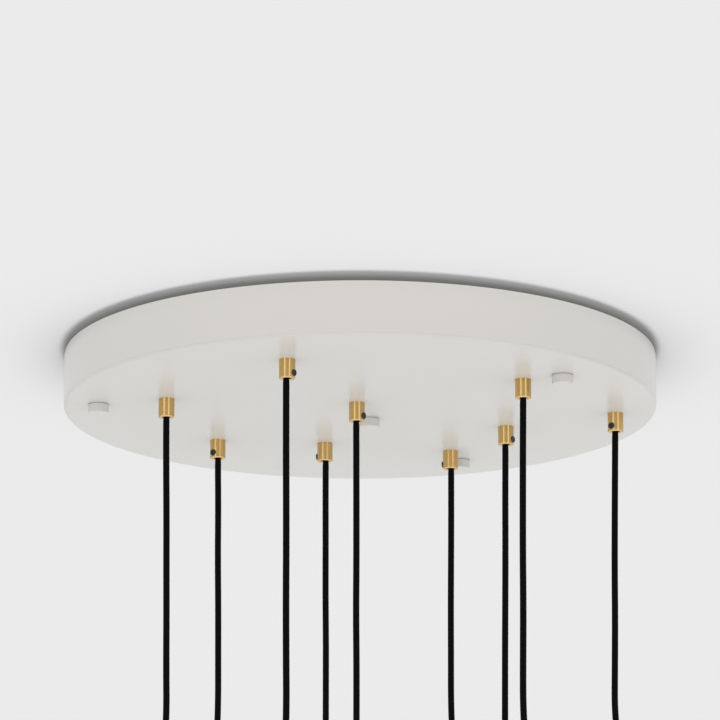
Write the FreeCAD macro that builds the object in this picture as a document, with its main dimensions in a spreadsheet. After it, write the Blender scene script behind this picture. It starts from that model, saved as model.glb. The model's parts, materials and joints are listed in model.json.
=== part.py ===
"""Cluster pendant: a round ceiling canopy that carries nine lampholders on textile cords.

Frame: millimetres, +Z up, origin on the ceiling at the canopy's centre, -Y towards the viewer.
Each sub-part is an object of the document with its own Label, which names its STEP file.
"""
import FreeCAD, Part
import math
import os
import Sketcher

# ---------------------------------------------------------------- driving dimensions

SIZES = [
    # canopy: a spun steel pan, open towards the ceiling
    ("canopy_diameter", 600.0),
    ("canopy_height", 53.0),
    ("canopy_wall", 1.5),
    ("canopy_edge_radius", 3.0),
    ("canopy_lip", 10.0),
    # fits
    ("fit_clearance", 0.1),
    ("stud_hole_clearance", 0.75),
    ("swing_gap", 0.3),
    # cord grip: a turned body under the canopy and a hollow threaded neck through it
    ("grip_diameter", 16.0),
    ("grip_height", 19.0),
    ("grip_bore", 8.4),
    ("grip_chamfer", 0.5),
    ("grip_neck_diameter", 10.0),
    ("grip_neck_length", 12.0),
    ("grip_washer_diameter", 18.0),
    ("grip_washer_thickness", 1.0),
    ("grip_nut_flats", 14.0),
    ("grip_nut_height", 3.0),
    # clamp screw: a slotted screw through the side of each grip, pressing on the cord
    ("screw_diameter", 6.6),
    ("screw_stand_out", 1.1),
    ("screw_above_mouth", 5.0),
    ("screw_slot_width", 1.1),
    ("screw_slot_depth", 1.2),
    ("screw_chamfer", 0.4),
    # cords
    ("cord_diameter", 6.0),
    ("tail_depth", 24.0),
    ("tail_inside_box", 8.0),
    ("tail_straight", 20.0),
    # cap nuts on the bracket's studs
    ("cap_nut_diameter", 21.0),
    ("cap_nut_height", 8.5),
    ("cap_nut_chamfer", 0.5),
    ("cap_nut_end_wall", 2.0),
    ("cap_washer_diameter", 19.4),
    ("cap_washer_thickness", 0.8),
    ("stud_diameter", 5.0),
    ("stud_end_gap", 0.5),
    ("stud_nut_flats", 8.0),
    ("stud_nut_height", 4.0),
    # ceiling bracket: a hub disc, and three arms welded under its edge
    ("hub_thickness", 3.0),
    ("arm_thickness", 3.0),
    ("arm_overlap", 17.0),
    ("hub_diameter", 190.0),
    ("arm_width", 28.0),
    ("ceiling_hole_circle", 160.0),
    ("ceiling_hole_diameter", 5.5),
    ("ceiling_hole_angle", 45.0),
    ("supply_hole_diameter", 16.0),
    ("grommet_bore", 9.0),
    ("grommet_flange_diameter", 22.0),
    ("grommet_flange_thickness", 2.0),
    # terminal box under the hub
    ("box_length", 120.0),
    ("box_width", 70.0),
    ("box_depth", 28.0),
    ("box_wall", 2.0),
    ("box_centre_x", -15.0),
    ("box_centre_y", -15.0),
    ("lid_thickness", 2.0),
    ("strip_length", 84.0),
    ("strip_width", 30.0),
    ("strip_height", 13.0),
    ("strip_from_supply", 12.0),
    ("terminal_pitch", 9.0),
    ("terminal_screw_diameter", 4.0),
    ("terminal_screw_height", 1.5),
    # each pendant's drop, from the canopy's underside to the top of its lampholder
    ("drop_1", 385.0),
    ("drop_2", 340.0),
    ("drop_3", 405.0),
    ("drop_4", 365.0),
    ("drop_5", 425.0),
    ("drop_6", 330.0),
    ("drop_7", 400.0),
    ("drop_8", 390.0),
    ("drop_9", 370.0),
    # lampholder
    ("holder_diameter", 42.0),
    ("holder_height", 58.0),
    ("holder_wall", 1.5),
    ("holder_shoulder", 7.0),
    ("holder_round", 3.0),
    ("holder_neck_diameter", 14.0),
    ("holder_neck_height", 12.0),
    ("cord_in_holder", 20.0),
    ("insert_recess", 3.0),
    ("insert_length", 34.0),
    ("socket_bore", 26.6),
    ("socket_depth", 26.0),
    ("socket_chamfer", 0.8),
]

# Each grip: its place on the canopy, in canopy radii from the centre, and the direction that its
# clamp screw faces, in degrees from +X.
GRIPS = [
    (-0.6464, -0.1636, 90.0),
    (-0.4925, 0.4202, -127.0),
    (-0.2353, -0.6806, -32.0),
    (-0.1217, 0.4613, 168.0),
    (-0.0104, -0.1092, -32.0),
    (0.3166, 0.5763, 168.0),
    (0.4994, 0.2214, -28.0),
    (0.5363, -0.4237, 90.0),
    (0.8646, 0.0357, -126.0),
]

# Studs and their cap nuts, in canopy radii from the centre: three near the rim, at the ends of
# the bracket's arms, and one in the hub.
STUDS = [
    (-0.8784, -0.0896),
    (0.6635, -0.4805),
    (0.3520, 0.7094),
    (0.0314, 0.1112),
]
ARM_STUDS = (1, 2, 3)
HUB_STUD = 4

# Where each cord's inner end enters the terminal box, as shares of the box's half length and
# half width from its centre, and how far the cord bows sideways on its way there.
TAIL_ENTRIES = {
    1: (-1.0, -0.30, 9.0),
    2: (-1.0, 0.45, -11.0),
    3: (-0.50, -1.0, 12.0),
    4: (-0.25, 1.0, 9.0),
    6: (0.70, 1.0, -12.0),
    7: (1.0, 0.55, 9.0),
    8: (1.0, -0.55, -10.0),
    9: (1.0, 0.0, 11.0),
}
FLOOR_ENTRY = 5  # this grip is under the box, so its cord goes straight up into the lid

document = FreeCAD.newDocument("cluster_pendant")
sheet = document.addObject("Spreadsheet::Sheet", "sizes")
size = {}  # the same values, for the shapes that no parametric object makes
subparts = []  # (object, label) in the order of export


def add_size(name, value):
    row = len(size) + 1
    sheet.set(f"A{row}", name)
    sheet.set(f"B{row}", repr(value))
    sheet.setAlias(f"B{row}", name)
    size[name] = value


for name, value in SIZES:
    add_size(name, value)
for number, (x, y, angle) in enumerate(GRIPS, 1):
    add_size(f"grip_x_{number}", x)
    add_size(f"grip_y_{number}", y)
    add_size(f"screw_angle_{number}", angle)
for number, (x, y) in enumerate(STUDS, 1):
    add_size(f"stud_x_{number}", x)
    add_size(f"stud_y_{number}", y)
document.recompute()


def s(name):
    """A size's name as an expression."""
    return f"sizes.{name}"


# ---------------------------------------------------------------- building blocks

ROUGH = 20.0  # where a sketch's points are drawn before its constraints place them
NEAR = 0.01  # lengths that differ by less are the same


def bind(obj, **properties):
    """Ties properties to expressions; x, y, z and turn stand for the object's placement."""
    paths = {"x": "Placement.Base.x", "y": "Placement.Base.y", "z": "Placement.Base.z"}
    for key, expression in properties.items():
        if key == "turn":
            obj.Placement.Rotation = FreeCAD.Rotation(FreeCAD.Vector(0, 0, 1), 1)
            obj.setExpression("Placement.Rotation.Angle", expression)
        else:
            obj.setExpression(paths.get(key, key), expression)
    return obj


def subpart(obj, label):
    obj.Label = label
    subparts.append((obj, label))
    return obj


def cylinder(name, diameter, height, **place):
    obj = document.addObject("Part::Cylinder", name)
    return bind(obj, Radius=f"({diameter}) / 2", Height=height, **place)


def box(name, length, width, height, **place):
    obj = document.addObject("Part::Box", name)
    return bind(obj, Length=length, Width=width, Height=height, **place)


def hexagon(name, flats, height, **place):
    obj = document.addObject("Part::Prism", name)
    obj.Polygon = 6
    return bind(obj, Circumradius=f"({flats}) / sqrt(3)", Height=height, **place)


def fuse(name, pieces):
    obj = document.addObject("Part::MultiFuse", name)
    obj.Shapes = pieces
    return obj


def cut(name, base, *tools):
    obj = document.addObject("Part::Cut", name)
    obj.Base = base
    obj.Tool = tools[0] if len(tools) == 1 else fuse(f"{name}_tools", list(tools))
    return obj


def compound(name, pieces):
    obj = document.addObject("Part::Compound", name)
    obj.Links = pieces
    return obj


def origin_plane(body, role):
    return next(f for f in body.Origin.OriginFeatures if f.Role == role)


def turned(name, outline):
    """A body of revolution about Z. Its outline is a closed list of (radius, height) expressions."""
    body = document.addObject("PartDesign::Body", name)
    sketch = body.newObject("Sketcher::SketchObject", f"{name}_outline")
    sketch.AttachmentSupport = [(origin_plane(body, "XZ_Plane"), "")]
    sketch.MapMode = "FlatFace"
    count = len(outline)
    turns = [2 * math.pi * k / count for k in range(count)]
    rough = [FreeCAD.Vector(ROUGH * (2 + math.cos(t)), ROUGH * (2 + math.sin(t)), 0) for t in turns]
    for k in range(count):
        sketch.addGeometry(Part.LineSegment(rough[k], rough[(k + 1) % count]), False)
    for k in range(count):
        sketch.addConstraint(Sketcher.Constraint("Coincident", k, 2, (k + 1) % count, 1))
    for k, (radius, height) in enumerate(outline):
        for kind, axis, expression, near in (
            ("DistanceX", -2, radius, rough[k].x),
            ("DistanceY", -1, height, rough[k].y),
        ):
            if expression == "0":
                sketch.addConstraint(Sketcher.Constraint("PointOnObject", k, 1, axis))
            else:
                index = sketch.addConstraint(Sketcher.Constraint(kind, -1, 1, k, 1, near))
                sketch.setExpression(f"Constraints[{index}]", expression)
    revolution = body.newObject("PartDesign::Revolution", f"{name}_revolution")
    revolution.Profile = sketch
    revolution.ReferenceAxis = (sketch, ["V_Axis"])
    revolution.Angle = 360.0
    body.Tip = revolution
    return body


def round_edges(body, name, radius, edge_radius, edge_height):
    """Fillets the circular edge of the body's tip that has that radius and height."""
    document.recompute()
    tip = body.Tip
    edges = []
    for k, edge in enumerate(tip.Shape.Edges, 1):
        curve = edge.Curve
        if isinstance(curve, Part.Circle):
            off = max(abs(curve.Radius - edge_radius), abs(curve.Center.z - edge_height))
            if off < NEAR:
                edges.append(f"Edge{k}")
    fillet = body.newObject("PartDesign::Fillet", name)
    fillet.Base = (tip, edges)
    fillet.setExpression("Radius", radius)
    body.Tip = fillet
    return body


def holes(body, name, circles):
    """Pockets round holes through the whole body: circles is a list of (x, y, diameter) expressions."""
    sketch = body.newObject("Sketcher::SketchObject", f"{name}_circles")
    sketch.AttachmentSupport = [(origin_plane(body, "XY_Plane"), "")]
    sketch.MapMode = "FlatFace"
    for k, (x, y, diameter) in enumerate(circles):
        place = FreeCAD.Vector(ROUGH * (k + 1), ROUGH, 0)
        sketch.addGeometry(Part.Circle(place, FreeCAD.Vector(0, 0, 1), ROUGH / 4), False)
        for kind, expression, near in (("DistanceX", x, place.x), ("DistanceY", y, place.y)):
            index = sketch.addConstraint(Sketcher.Constraint(kind, -1, 1, k, 3, near))
            sketch.setExpression(f"Constraints[{index}]", expression)
        index = sketch.addConstraint(Sketcher.Constraint("Diameter", k, ROUGH / 2))
        sketch.setExpression(f"Constraints[{index}]", diameter)
    pocket = body.newObject("PartDesign::Pocket", name)
    pocket.Profile = sketch
    pocket.Type = 1  # through all
    pocket.Midplane = True
    body.Tip = pocket
    return body


# ---------------------------------------------------------------- shared places, as expressions

UNDERSIDE = "-sizes.canopy_height"
GRIP_MOUTH = f"{UNDERSIDE} - sizes.grip_height"
CORD_OFFSET = "(sizes.grip_bore / 2 - sizes.cord_diameter / 2 - sizes.fit_clearance)"
SWING_PIVOT = f"{GRIP_MOUTH} - sizes.swing_gap - sizes.cord_diameter / 2"


def on_canopy(kind, number):
    """The place of a grip or a stud: its shares of the canopy's radius, as lengths."""
    return {axis: f"sizes.{kind}_{axis}_{number} * sizes.canopy_diameter / 2" for axis in ("x", "y")}


def grip_place(number):
    return on_canopy("grip", number)


def stud_place(number):
    return on_canopy("stud", number)


def cord_place(number):
    """The cord's centreline: pressed against the side of the grip's bore away from its screw."""
    angle = f"sizes.screw_angle_{number} * 1deg"
    place = grip_place(number)
    return {
        "x": f"{place['x']} - {CORD_OFFSET} * cos({angle})",
        "y": f"{place['y']} - {CORD_OFFSET} * sin({angle})",
    }


grip_numbers = range(1, len(GRIPS) + 1)
stud_numbers = range(1, len(STUDS) + 1)

# ---------------------------------------------------------------- canopy


def make_canopy():
    """The pan, standing on its underside; a lip turns inwards at the ceiling."""
    outer = "sizes.canopy_diameter / 2"
    inner = f"{outer} - sizes.canopy_wall"
    lip_edge = f"{outer} - sizes.canopy_lip"
    height = s("canopy_height")
    wall = s("canopy_wall")
    body = turned(
        "canopy",
        [
            ("0", "0"),
            (outer, "0"),
            (outer, height),
            (lip_edge, height),
            (lip_edge, f"{height} - {wall}"),
            (inner, f"{height} - {wall}"),
            (inner, wall),
            ("0", wall),
        ],
    )
    radius = size["canopy_diameter"] / 2
    round_edges(body, "canopy_edge", s("canopy_edge_radius"), radius, 0)
    inside = radius - size["canopy_wall"]
    inner_round = "sizes.canopy_edge_radius - sizes.canopy_wall"
    round_edges(body, "canopy_inner_edge", inner_round, inside, size["canopy_wall"])
    neck_hole = "sizes.grip_neck_diameter + 2 * sizes.fit_clearance"
    stud_hole = "sizes.stud_diameter + 2 * sizes.stud_hole_clearance"
    circles = [(*grip_place(n).values(), neck_hole) for n in grip_numbers]
    circles += [(*stud_place(n).values(), stud_hole) for n in stud_numbers]
    holes(body, "canopy_holes", circles)
    bind(body, z=UNDERSIDE)
    subpart(body, "canopy_pan")


# ---------------------------------------------------------------- cord grips


def make_grip(number):
    """Grip body with its threaded neck, bored through for the cord and cross-drilled for the screw."""
    outer = "sizes.grip_diameter / 2"
    chamfer = s("grip_chamfer")
    height = s("grip_height")
    bore = "sizes.grip_bore / 2"
    neck = "sizes.grip_neck_diameter / 2"
    top = "sizes.grip_height + sizes.grip_neck_length"
    body = turned(
        f"grip_{number}",
        [
            (f"{bore} + {chamfer}", "0"),
            (f"{outer} - {chamfer}", "0"),
            (outer, chamfer),
            (outer, height),
            (neck, height),
            (neck, top),
            (bore, top),
            (bore, chamfer),
        ],
    )
    screw_hole = "sizes.screw_diameter + 2 * sizes.fit_clearance"
    hole = cylinder(f"grip_{number}_hole", screw_hole, outer, z=s("screw_above_mouth"))
    hole.Placement.Rotation = FreeCAD.Rotation(FreeCAD.Vector(0, 1, 0), 90)
    drilled = cut(f"grip_{number}_drilled", body, hole)
    return bind(drilled, z=GRIP_MOUTH, turn=s(f"screw_angle_{number}"), **grip_place(number))


def make_grips():
    subpart(compound("grips", [make_grip(n) for n in grip_numbers]), "cord_grips")
    floor = f"{UNDERSIDE} + sizes.canopy_wall"
    neck_hole = "sizes.grip_neck_diameter + 2 * sizes.fit_clearance"
    washers = []
    nuts = []
    for n in grip_numbers:
        place = grip_place(n)
        thickness = s("grip_washer_thickness")
        blank = cylinder(f"washer_{n}_blank", s("grip_washer_diameter"), thickness, z=floor, **place)
        hole = cylinder(f"washer_{n}_hole", neck_hole, thickness, z=floor, **place)
        washers.append(cut(f"washer_{n}", blank, hole))
        nut_floor = f"{floor} + {thickness}"
        blank = hexagon(f"nut_{n}_blank", s("grip_nut_flats"), s("grip_nut_height"), z=nut_floor, **place)
        hole = cylinder(f"nut_{n}_hole", neck_hole, s("grip_nut_height"), z=nut_floor, **place)
        nuts.append(cut(f"nut_{n}", blank, hole))
    subpart(compound("washers", washers), "grip_washers")
    subpart(compound("nuts", nuts), "grip_lock_nuts")


def make_clamp_screw(number):
    """Slotted screw from the cord's side to just outside the grip; built along +X from the grip's axis."""
    start = f"(sizes.cord_diameter / 2 - {CORD_OFFSET} + sizes.fit_clearance)"
    end = "(sizes.grip_diameter / 2 + sizes.screw_stand_out)"
    radius = "sizes.screw_diameter / 2"
    chamfer = s("screw_chamfer")
    length = f"{end} - {start}"
    blank = turned(
        f"screw_{number}_blank",
        [
            ("0", "0"),
            (f"{radius} - {chamfer}", "0"),
            (radius, chamfer),
            (radius, f"{length} - {chamfer}"),
            (f"{radius} - {chamfer}", length),
            ("0", length),
        ],
    )
    blank.Placement.Rotation = FreeCAD.Rotation(FreeCAD.Vector(0, 1, 0), 90)
    bind(blank, x=start)
    slot = box(
        f"screw_{number}_slot",
        s("screw_slot_depth"),
        s("screw_slot_width"),
        s("screw_diameter"),
        x=f"{end} - sizes.screw_slot_depth",
        y="-sizes.screw_slot_width / 2",
        z="-sizes.screw_diameter / 2",
    )
    screw = cut(f"screw_{number}", blank, slot)
    height = f"{GRIP_MOUTH} + sizes.screw_above_mouth"
    bind(screw, z=height, turn=s(f"screw_angle_{number}"), **grip_place(number))
    subpart(screw, f"clamp_screw_{number}")


# ---------------------------------------------------------------- bracket, studs and cap nuts


def make_bracket():
    """Hub disc with holes for the screws, the supply and one stud, and the arms with a stud hole each."""
    thickness = s("hub_thickness")
    underside = "-sizes.hub_thickness"
    stud_hole = "sizes.stud_diameter + 2 * sizes.fit_clearance"
    drills = [
        cylinder("supply_hole", s("supply_hole_diameter"), thickness, z=underside),
        cylinder("hub_stud_hole", stud_hole, thickness, z=underside, **stud_place(HUB_STUD)),
    ]
    for k in range(4):
        angle = f"(sizes.ceiling_hole_angle + {90 * k}) * 1deg"
        place = {
            "x": f"sizes.ceiling_hole_circle / 2 * cos({angle})",
            "y": f"sizes.ceiling_hole_circle / 2 * sin({angle})",
        }
        wide = s("ceiling_hole_diameter")
        drills.append(cylinder(f"ceiling_hole_{k}", wide, thickness, z=underside, **place))
    hub = cylinder("hub", s("hub_diameter"), thickness, z=underside)
    subpart(cut("drilled_hub", hub, *drills), "bracket_hub")
    arms = []
    for n in ARM_STUDS:
        place = stud_place(n)
        start = "(sizes.hub_diameter / 2 - sizes.arm_overlap)"
        reach = f"sqrt(({place['x']}) ^ 2 + ({place['y']}) ^ 2)"
        half = "sizes.arm_width / 2"
        heading = f"atan2({place['y']}; {place['x']})"
        floor = f"{underside} - sizes.arm_thickness"
        bar = box(
            f"arm_{n}_bar",
            f"{reach} - {start}",
            s("arm_width"),
            s("arm_thickness"),
            x=f"{start} * cos({heading}) + {half} * sin({heading})",
            y=f"{start} * sin({heading}) - {half} * cos({heading})",
            z=floor,
            turn=heading,
        )
        end = cylinder(f"arm_{n}_end", s("arm_width"), s("arm_thickness"), z=floor, **place)
        hole = cylinder(f"arm_{n}_hole", stud_hole, s("arm_thickness"), z=floor, **place)
        arms.append(cut(f"arm_{n}", fuse(f"arm_{n}_blank", [bar, end]), hole))
    subpart(compound("arms", arms), "bracket_arms")


def make_studs():
    """Studs from the bracket down into the cap nuts, each with a nut under the bracket."""
    end = "(sizes.canopy_height + sizes.cap_washer_thickness + sizes.cap_nut_height - sizes.cap_nut_end_wall"
    end += " - sizes.stud_end_gap)"
    studs = []
    nuts = []
    wide = "sizes.stud_diameter + 2 * sizes.fit_clearance"
    height = s("stud_nut_height")
    for n in stud_numbers:
        place = stud_place(n)
        in_hub = n == HUB_STUD
        top = "0" if in_hub else "sizes.hub_thickness"
        plate = s("hub_thickness") if in_hub else s("arm_thickness")
        studs.append(cylinder(f"stud_{n}", s("stud_diameter"), f"{end} - {top}", z=f"-{end}", **place))
        floor = f"-({top} + {plate} + {height})"
        blank = hexagon(f"stud_nut_{n}_blank", s("stud_nut_flats"), height, z=floor, **place)
        hole = cylinder(f"stud_nut_{n}_hole", wide, height, z=floor, **place)
        nuts.append(cut(f"stud_nut_{n}", blank, hole))
    subpart(compound("studs", studs), "bracket_studs")
    subpart(compound("stud_nuts", nuts), "stud_nuts")


def make_cap_nut(number):
    """Blind round nut and its washer, which together hold the canopy up on one stud."""
    place = stud_place(number)
    thread = "sizes.stud_diameter / 2 + sizes.fit_clearance"
    rim = "sizes.cap_nut_diameter / 2"
    chamfer = s("cap_nut_chamfer")
    height = s("cap_nut_height")
    washer_height = s("cap_washer_thickness")
    washer_floor = f"{UNDERSIDE} - {washer_height}"
    washer = turned(
        f"cap_washer_{number}_body",
        [
            (thread, "0"),
            ("sizes.cap_washer_diameter / 2", "0"),
            ("sizes.cap_washer_diameter / 2", washer_height),
            (thread, washer_height),
        ],
    )
    subpart(bind(washer, z=washer_floor, **place), f"cap_washer_{number}")
    nut = turned(
        f"cap_nut_{number}_body",
        [
            ("0", "0"),
            (f"{rim} - {chamfer}", "0"),
            (rim, chamfer),
            (rim, height),
            (thread, height),
            (thread, s("cap_nut_end_wall")),
            ("0", s("cap_nut_end_wall")),
        ],
    )
    subpart(bind(nut, z=f"{washer_floor} - {height}", **place), f"cap_nut_{number}")


# ---------------------------------------------------------------- supply entry and terminals

BOX_TOP = "-sizes.hub_thickness"


def box_block(name, length, width, height, floor):
    """A block of that length and width, centred on the terminal box."""
    x = f"sizes.box_centre_x - ({length}) / 2"
    y = f"sizes.box_centre_y - ({width}) / 2"
    return box(name, length, width, height, x=x, y=y, z=floor)


def make_grommet():
    bore = "sizes.grommet_bore / 2"
    body = turned(
        "grommet",
        [
            (bore, "0"),
            ("sizes.grommet_flange_diameter / 2", "0"),
            ("sizes.grommet_flange_diameter / 2", s("grommet_flange_thickness")),
            ("sizes.supply_hole_diameter / 2", s("grommet_flange_thickness")),
            ("sizes.supply_hole_diameter / 2", "sizes.grommet_flange_thickness + sizes.hub_thickness"),
            (bore, "sizes.grommet_flange_thickness + sizes.hub_thickness"),
        ],
    )
    subpart(bind(body, z="-sizes.hub_thickness - sizes.grommet_flange_thickness"), "supply_grommet")


def tail_entry(number):
    """Where a cord meets the terminal box's side, and the direction in which it goes in."""
    along, across, _ = TAIL_ENTRIES[number]
    x = size["box_centre_x"] + along * size["box_length"] / 2
    y = size["box_centre_y"] + across * size["box_width"] / 2
    inwards = (-along, 0.0) if abs(along) == 1.0 else (0.0, -across)
    return FreeCAD.Vector(x, y, -size["tail_depth"]), FreeCAD.Vector(*inwards, 0.0)


def make_terminal_box():
    """Housing that hangs under the hub, open below, with a hole in its side for each cord; and its lid."""
    wall = s("box_wall")
    inner_length = f"sizes.box_length - 2 * {wall}"
    inner_width = f"sizes.box_width - 2 * {wall}"
    floor = f"{BOX_TOP} - sizes.box_depth"
    shell = box_block("box_blank", s("box_length"), s("box_width"), s("box_depth"), floor)
    tools = [box_block("box_hollow", inner_length, inner_width, s("box_depth"), floor)]
    wide = "sizes.cord_diameter + 2 * sizes.fit_clearance"
    for n, (along, across, _) in TAIL_ENTRIES.items():
        hole = cylinder(
            f"entry_{n}",
            wide,
            f"2 * {wall}",
            x=f"sizes.box_centre_x + {along} * sizes.box_length / 2",
            y=f"sizes.box_centre_y + {across} * sizes.box_width / 2",
            z="-sizes.tail_depth",
        )
        if abs(along) == 1.0:
            hole.Placement.Rotation = FreeCAD.Rotation(FreeCAD.Vector(0, 1, 0), 90)
            bind(hole, x=f"sizes.box_centre_x + {along} * sizes.box_length / 2 - {wall}")
        else:
            hole.Placement.Rotation = FreeCAD.Rotation(FreeCAD.Vector(1, 0, 0), -90)
            bind(hole, y=f"sizes.box_centre_y + {across} * sizes.box_width / 2 - {wall}")
        tools.append(hole)
    subpart(cut("terminal_shell", shell, *tools), "terminal_box")
    lid_floor = f"{floor} - sizes.lid_thickness"
    plate = box_block("lid_plate", s("box_length"), s("box_width"), s("lid_thickness"), lid_floor)
    place = cord_place(FLOOR_ENTRY)
    hole = cylinder("lid_hole", wide, s("lid_thickness"), z=lid_floor, **place)
    subpart(cut("lid", plate, hole), "terminal_lid")


def make_terminal_strip():
    """Three rows of terminals fixed under the hub, with a clamping screw in each."""
    top_y = "-sizes.strip_from_supply"
    start_x = "sizes.box_centre_x - sizes.strip_length / 2"
    start_y = f"{top_y} - sizes.strip_width"
    floor = f"{BOX_TOP} - sizes.strip_height"
    place = {"x": start_x, "y": start_y, "z": floor}
    strip = box("strip", s("strip_length"), s("strip_width"), s("strip_height"), **place)
    subpart(strip, "terminal_strip")
    screws = []
    rows = 3
    columns = 9
    for row in range(rows):
        for column in range(columns):
            screws.append(
                cylinder(
                    f"terminal_screw_{row}_{column}",
                    s("terminal_screw_diameter"),
                    s("terminal_screw_height"),
                    x=f"sizes.box_centre_x + {column - (columns - 1) / 2} * sizes.terminal_pitch",
                    y=f"{start_y} + sizes.strip_width / 2 + {row - 1} * sizes.terminal_pitch",
                    z=f"{floor} - sizes.terminal_screw_height",
                )
            )
    subpart(compound("terminal_screws_group", screws), "terminal_screws")


# ---------------------------------------------------------------- cords


def cord_centre(number):
    """The cord's place in the grip, from the sheet's values."""
    offset = size["grip_bore"] / 2 - size["cord_diameter"] / 2 - size["fit_clearance"]
    angle = math.radians(size[f"screw_angle_{number}"])
    radius = size["canopy_diameter"] / 2
    x = size[f"grip_x_{number}"] * radius - offset * math.cos(angle)
    y = size[f"grip_y_{number}"] * radius - offset * math.sin(angle)
    return x, y


def rounded_path(points, longest_tangent):
    """Straight runs joined by tangent arcs, each as large as its two runs allow."""
    edges = []
    start = points[0]
    for k in range(1, len(points) - 1):
        before = points[k] - points[k - 1]
        after = points[k + 1] - points[k]
        turn = before.getAngle(after)
        tangent = min(0.45 * before.Length, 0.45 * after.Length, longest_tangent.get(k, math.inf))
        into = before.normalize()
        out = after.normalize()
        first = points[k] - into * tangent
        last = points[k] + out * tangent
        radius = tangent / math.tan(turn / 2)
        inwards = (out - into).normalize()
        middle = points[k] + inwards * (radius / math.cos(turn / 2) - radius)
        print(f"  arc radius {radius:.1f} mm, turn {math.degrees(turn):.0f} degrees")
        edges.append(Part.LineSegment(start, first).toShape())
        edges.append(Part.Arc(first, middle, last).toShape())
        start = last
    edges.append(Part.LineSegment(start, points[-1]).toShape())
    return Part.Wire(edges)


def tube(path, diameter):
    edge = path.Edges[0]
    start = edge.FirstParameter
    ring = Part.makeCircle(diameter / 2, edge.valueAt(start), edge.tangentAt(start))
    solid = path.makePipeShell([Part.Wire(ring)], True, False, 2)
    section = math.pi * diameter**2 / 4
    print(f"  tube volume over section times length {solid.Volume / (section * path.Length):.4f}")
    return solid


def make_tails():
    """The cords' inner ends: up through the grips, over, and along under the bracket to the terminals."""
    mouth = -(size["canopy_height"] + size["grip_height"])
    neck_top = -size["canopy_height"] + size["grip_neck_length"]
    level = -size["tail_depth"]
    solids = []
    for n in grip_numbers:
        x, y = cord_centre(n)
        print(f"cord {n}")
        if n == FLOOR_ENTRY:
            top = -size["hub_thickness"] - size["box_depth"] + size["tail_inside_box"] / 2
            line = Part.LineSegment(FreeCAD.Vector(x, y, mouth), FreeCAD.Vector(x, y, top))
            path = Part.Wire([line.toShape()])
        else:
            entry, inwards = tail_entry(n)
            bow = TAIL_ENTRIES[n][2]
            above = FreeCAD.Vector(x, y, level)
            outside = entry - inwards * size["tail_straight"]
            run = outside - above
            side = FreeCAD.Vector(-run.y, run.x, 0).normalize()
            waist = above + run * 0.5 + side * bow
            inside = entry + inwards * size["tail_inside_box"]
            points = [FreeCAD.Vector(x, y, mouth), above, waist, outside, inside]
            path = rounded_path(points, {1: level - neck_top})
        solids.append(tube(path, size["cord_diameter"]))
    tails = document.addObject("Part::Feature", "tails")
    tails.Shape = Part.makeCompound(solids)
    subpart(tails, "cord_tails")


def make_pendant_cord(number):
    """The hanging cord: a straight tube with a round top end, on which it swings at the grip's mouth."""
    place = cord_place(number)
    foot = f"{UNDERSIDE} - sizes.drop_{number} - sizes.cord_in_holder"
    shaft = cylinder(f"cord_{number}_shaft", s("cord_diameter"), f"{SWING_PIVOT} - ({foot})", z=foot, **place)
    top = document.addObject("Part::Sphere", f"cord_{number}_top")
    bind(top, Radius="sizes.cord_diameter / 2", z=SWING_PIVOT, **place)
    subpart(fuse(f"cord_{number}", [shaft, top]), f"pendant_cord_{number}")


# ---------------------------------------------------------------- lampholders


def make_lampholder(number):
    """Turned shell with a neck for the cord, and the insert with its socket, open downwards."""
    outer = "sizes.holder_diameter / 2"
    wall = s("holder_wall")
    neck = "sizes.holder_neck_diameter / 2"
    bore = "(sizes.cord_diameter / 2 + sizes.fit_clearance)"
    height = s("holder_height")
    shoulder = "sizes.holder_height - sizes.holder_shoulder"
    top = "sizes.holder_height + sizes.holder_neck_height"
    shell = turned(
        f"holder_{number}_shell",
        [
            (outer, "0"),
            (outer, shoulder),
            (neck, height),
            (neck, top),
            (bore, top),
            (bore, f"{height} - 2 * {wall}"),
            (f"{outer} - {wall}", f"{shoulder} - {wall}"),
            (f"{outer} - {wall}", "0"),
        ],
    )
    widest = size["holder_diameter"] / 2
    bend = size["holder_height"] - size["holder_shoulder"]
    round_edges(shell, f"holder_{number}_shoulder", s("holder_round"), widest, bend)
    rim = f"{UNDERSIDE} - sizes.drop_{number} - sizes.holder_neck_height - sizes.holder_height"
    place = cord_place(number)
    subpart(bind(shell, z=rim, **place), f"lampholder_shell_{number}")
    socket = "sizes.socket_bore / 2"
    body = f"{outer} - {wall} - sizes.fit_clearance"
    insert = turned(
        f"holder_{number}_insert",
        [
            (f"{socket} + sizes.socket_chamfer", "0"),
            (body, "0"),
            (body, s("insert_length")),
            ("0", s("insert_length")),
            ("0", s("socket_depth")),
            (socket, s("socket_depth")),
            (socket, s("socket_chamfer")),
        ],
    )
    subpart(bind(insert, z=f"{rim} + sizes.insert_recess", **place), f"lampholder_insert_{number}")


# ---------------------------------------------------------------- build, check and export


def check_and_export():
    document.recompute()
    broken = [o.Name for o in document.Objects if {"Invalid", "Error"} & set(o.State)]
    if broken:
        raise RuntimeError(f"objects that failed to compute: {broken}")
    os.makedirs("parts", exist_ok=True)
    for obj, label in subparts:
        shape = obj.Shape
        if shape.isNull() or not shape.isValid() or not shape.Solids:
            raise RuntimeError(f"{label} has no valid solid")
    for obj, label in subparts:
        obj.Shape.exportStep(f"parts/{label}.step")
    print(f"{len(subparts)} sub-parts written")


make_canopy()
make_grips()
for grip in grip_numbers:
    make_clamp_screw(grip)
make_bracket()
make_studs()
for stud in stud_numbers:
    make_cap_nut(stud)
make_grommet()
make_terminal_box()
make_terminal_strip()
make_tails()
for grip in grip_numbers:
    make_pendant_cord(grip)
    make_lampholder(grip)
check_and_export()
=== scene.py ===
"""Cluster pendant: an off-white round canopy with nine brass cord grips, black textile cords
and lampholders."""
import json
import math
import random

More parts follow.
